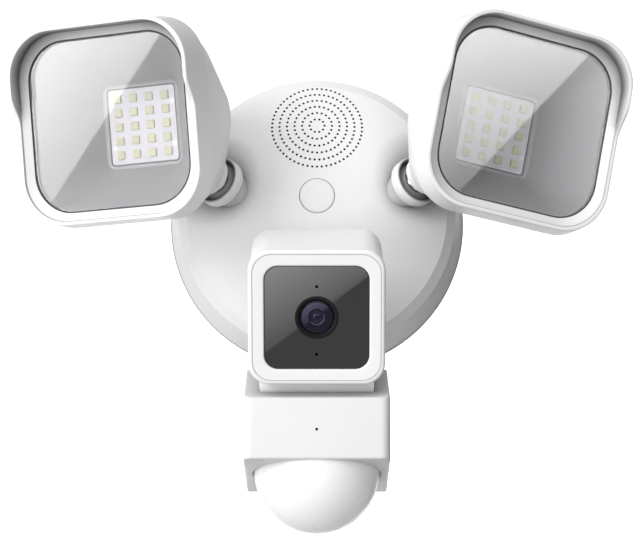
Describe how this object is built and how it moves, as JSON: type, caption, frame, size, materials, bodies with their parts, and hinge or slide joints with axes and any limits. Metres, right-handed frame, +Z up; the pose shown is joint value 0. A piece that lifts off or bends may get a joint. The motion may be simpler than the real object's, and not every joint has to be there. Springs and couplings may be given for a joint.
{
  "type": "floodlight security camera",
  "caption": "Wall-mounted floodlight security camera: domed round base, hooded square LED lamps on ball joints, and a cube camera on a motion-sensor block.",
  "frame": {"origin": "centre of the wall face, on the axis of the round base, in the plane of the wall gasket's back", "axes": "+Y into the wall, so the front looks along -Y; +Z up; +X to the right as seen from the front"},
  "size_m": [0.2519, 0.1293, 0.208],
  "materials": {
    "white_plastic": "satin moulded white",
    "lamp_white": "smooth white powder coat",
    "frame_white": "satin moulded white",
    "lamp_lens": "clear tempered glass",
    "reflector_white": "matt white",
    "board_white": "white solder mask",
    "led_phosphor": "pale yellow phosphor",
    "aluminium": "machined",
    "steel": "zinc plated",
    "chrome_ball": "polished",
    "nylon_liner": "black nylon",
    "rubber_seal": "matt black",
    "lens_seal_grey": "grey silicone",
    "foam_gasket": "closed-cell foam",
    "circuit_green": "green solder mask",
    "black_plastic": "black moulded",
    "speaker_grey": "black paper and plastic",
    "terminal_plastic": "ivory nylon",
    "camera_white": "smooth white",
    "window_dark": "dark tinted",
    "lens_black": "black moulded",
    "lens_coating": "coated optical glass",
    "infrared_lens": "dark epoxy",
    "sensor_grey": "satin moulded white",
    "dome_milky": "milky polyethylene",
    "detector_can": "nickel can"
  },
  "bodies": {
    "base": {"wall_gasket": "foam_gasket", "mounting_bracket": "steel", "back_plate": "white_plastic", "wire_grommet": "rubber_seal", "cover_seal": "rubber_seal", "base_cover": "white_plastic", "cover_screws": "steel", "centre_bolt": "steel", "siren_speaker": "speaker_grey", "speaker_gasket": "foam_gasket", "main_board": "circuit_green", "power_module": "black_plastic", "terminal_block": "terminal_plastic", "socket_cups": "white_plastic", "socket_nuts": "steel"},
    "left_joint_liner": {"left_liner": "nylon_liner"},
    "left_ball": {"left_ball_stud": "chrome_ball"},
    "left_lamp": {"left_lamp_housing": "lamp_white", "left_lamp_hood": "frame_white", "left_lens_seal": "lens_seal_grey", "left_lamp_glass": "lamp_lens", "left_reflector": "reflector_white", "left_led_board": "board_white", "left_led_chips": "led_phosphor", "left_heat_spreader": "aluminium", "left_lamp_screws": "steel"},
    "right_joint_liner": {"right_liner": "nylon_liner"},
    "right_ball": {"right_ball_stud": "chrome_ball"},
    "right_lamp": {"right_lamp_housing": "lamp_white", "right_lamp_hood": "frame_white", "right_lens_seal": "lens_seal_grey", "right_lamp_glass": "lamp_lens", "right_reflector": "reflector_white", "right_led_board": "board_white", "right_led_chips": "led_phosphor", "right_heat_spreader": "aluminium", "right_lamp_screws": "steel"},
    "centre_joint_liner": {"centre_liner": "nylon_liner"},
    "sensor_block": {"centre_ball_stud": "chrome_ball", "sensor_arm": "sensor_grey", "sensor_housing": "sensor_grey", "dome_lens": "dome_milky", "sensor_board": "circuit_green", "heat_detectors": "detector_can", "sensor_screws": "steel", "camera_foot": "camera_white", "tilt_pin": "steel"},
    "camera": {"camera_shell": "camera_white", "camera_bezel": "camera_white", "camera_window": "window_dark", "lens_ring": "lens_black", "lens_barrel": "lens_black", "lens_glass": "lens_coating", "image_board": "circuit_green", "infrared_leds": "infrared_lens", "camera_heat_sink": "aluminium", "camera_speaker": "speaker_grey"},
    "setup_button": {"setup_button": "camera_white"},
    "plug": {"centre_plug": "white_plastic"}
  },
  "joints": [
    {"name": "left_lamp_swivel", "type": "hinge", "parent": "base", "child": "left_joint_liner", "pos_m": [-0.0405, -0.0425, 0.0108], "axis": [-0.5486, -0.798, 0.2494], "range_deg": [-45, 45]},
    {"name": "left_lamp_tilt", "type": "hinge", "parent": "left_joint_liner", "child": "left_ball", "pos_m": [-0.0405, -0.0425, 0.0108], "axis": [-0.824, 0.5665, 0], "range_deg": [-18, 18]},
    {"name": "left_lamp_spin", "type": "hinge", "parent": "left_ball", "child": "left_lamp", "pos_m": [-0.0405, -0.0425, 0.0108], "axis": [-0.5495, -0.8019, 0.2346], "range_deg": [-30, 30]},
    {"name": "right_lamp_swivel", "type": "hinge", "parent": "base", "child": "right_joint_liner", "pos_m": [0.0405, -0.0425, 0.0108], "axis": [-0.5486, 0.798, -0.2494], "range_deg": [-45, 45]},
    {"name": "right_lamp_tilt", "type": "hinge", "parent": "right_joint_liner", "child": "right_ball", "pos_m": [0.0405, -0.0425, 0.0108], "axis": [-0.824, -0.5665, 0], "range_deg": [-18, 18]},
    {"name": "right_lamp_spin", "type": "hinge", "parent": "right_ball", "child": "right_lamp", "pos_m": [0.0405, -0.0425, 0.0108], "axis": [-0.549, 0.792, -0.2672], "range_deg": [-30, 30]},
    {"name": "arm_swivel", "type": "hinge", "parent": "base", "child": "centre_joint_liner", "pos_m": [0, -0.042, -0.038], "axis": [0, -0.5201, -0.8541], "range_deg": [-30, 30]},
    {"name": "arm_tilt", "type": "hinge", "parent": "centre_joint_liner", "child": "sensor_block", "pos_m": [0, -0.042, -0.038], "axis": [1, 0, 0], "range_deg": [-15, 10]},
    {"name": "camera_tilt", "type": "hinge", "parent": "sensor_block", "child": "camera", "pos_m": [0, -0.07521, -0.07094], "axis": [-1, 0, 0], "range_deg": [0, 30]},
    {"name": "setup_button_press", "type": "slide", "parent": "camera", "child": "setup_button", "axis": [0, -0.9336, -0.3584], "range_m": [0, 0.0006], "stiffness_N_per_m": 800},
    {"name": "plug_pull", "type": "slide", "parent": "base", "child": "plug", "axis": [0, -1, 0], "range_m": [0, 0.012]}
  ]
}
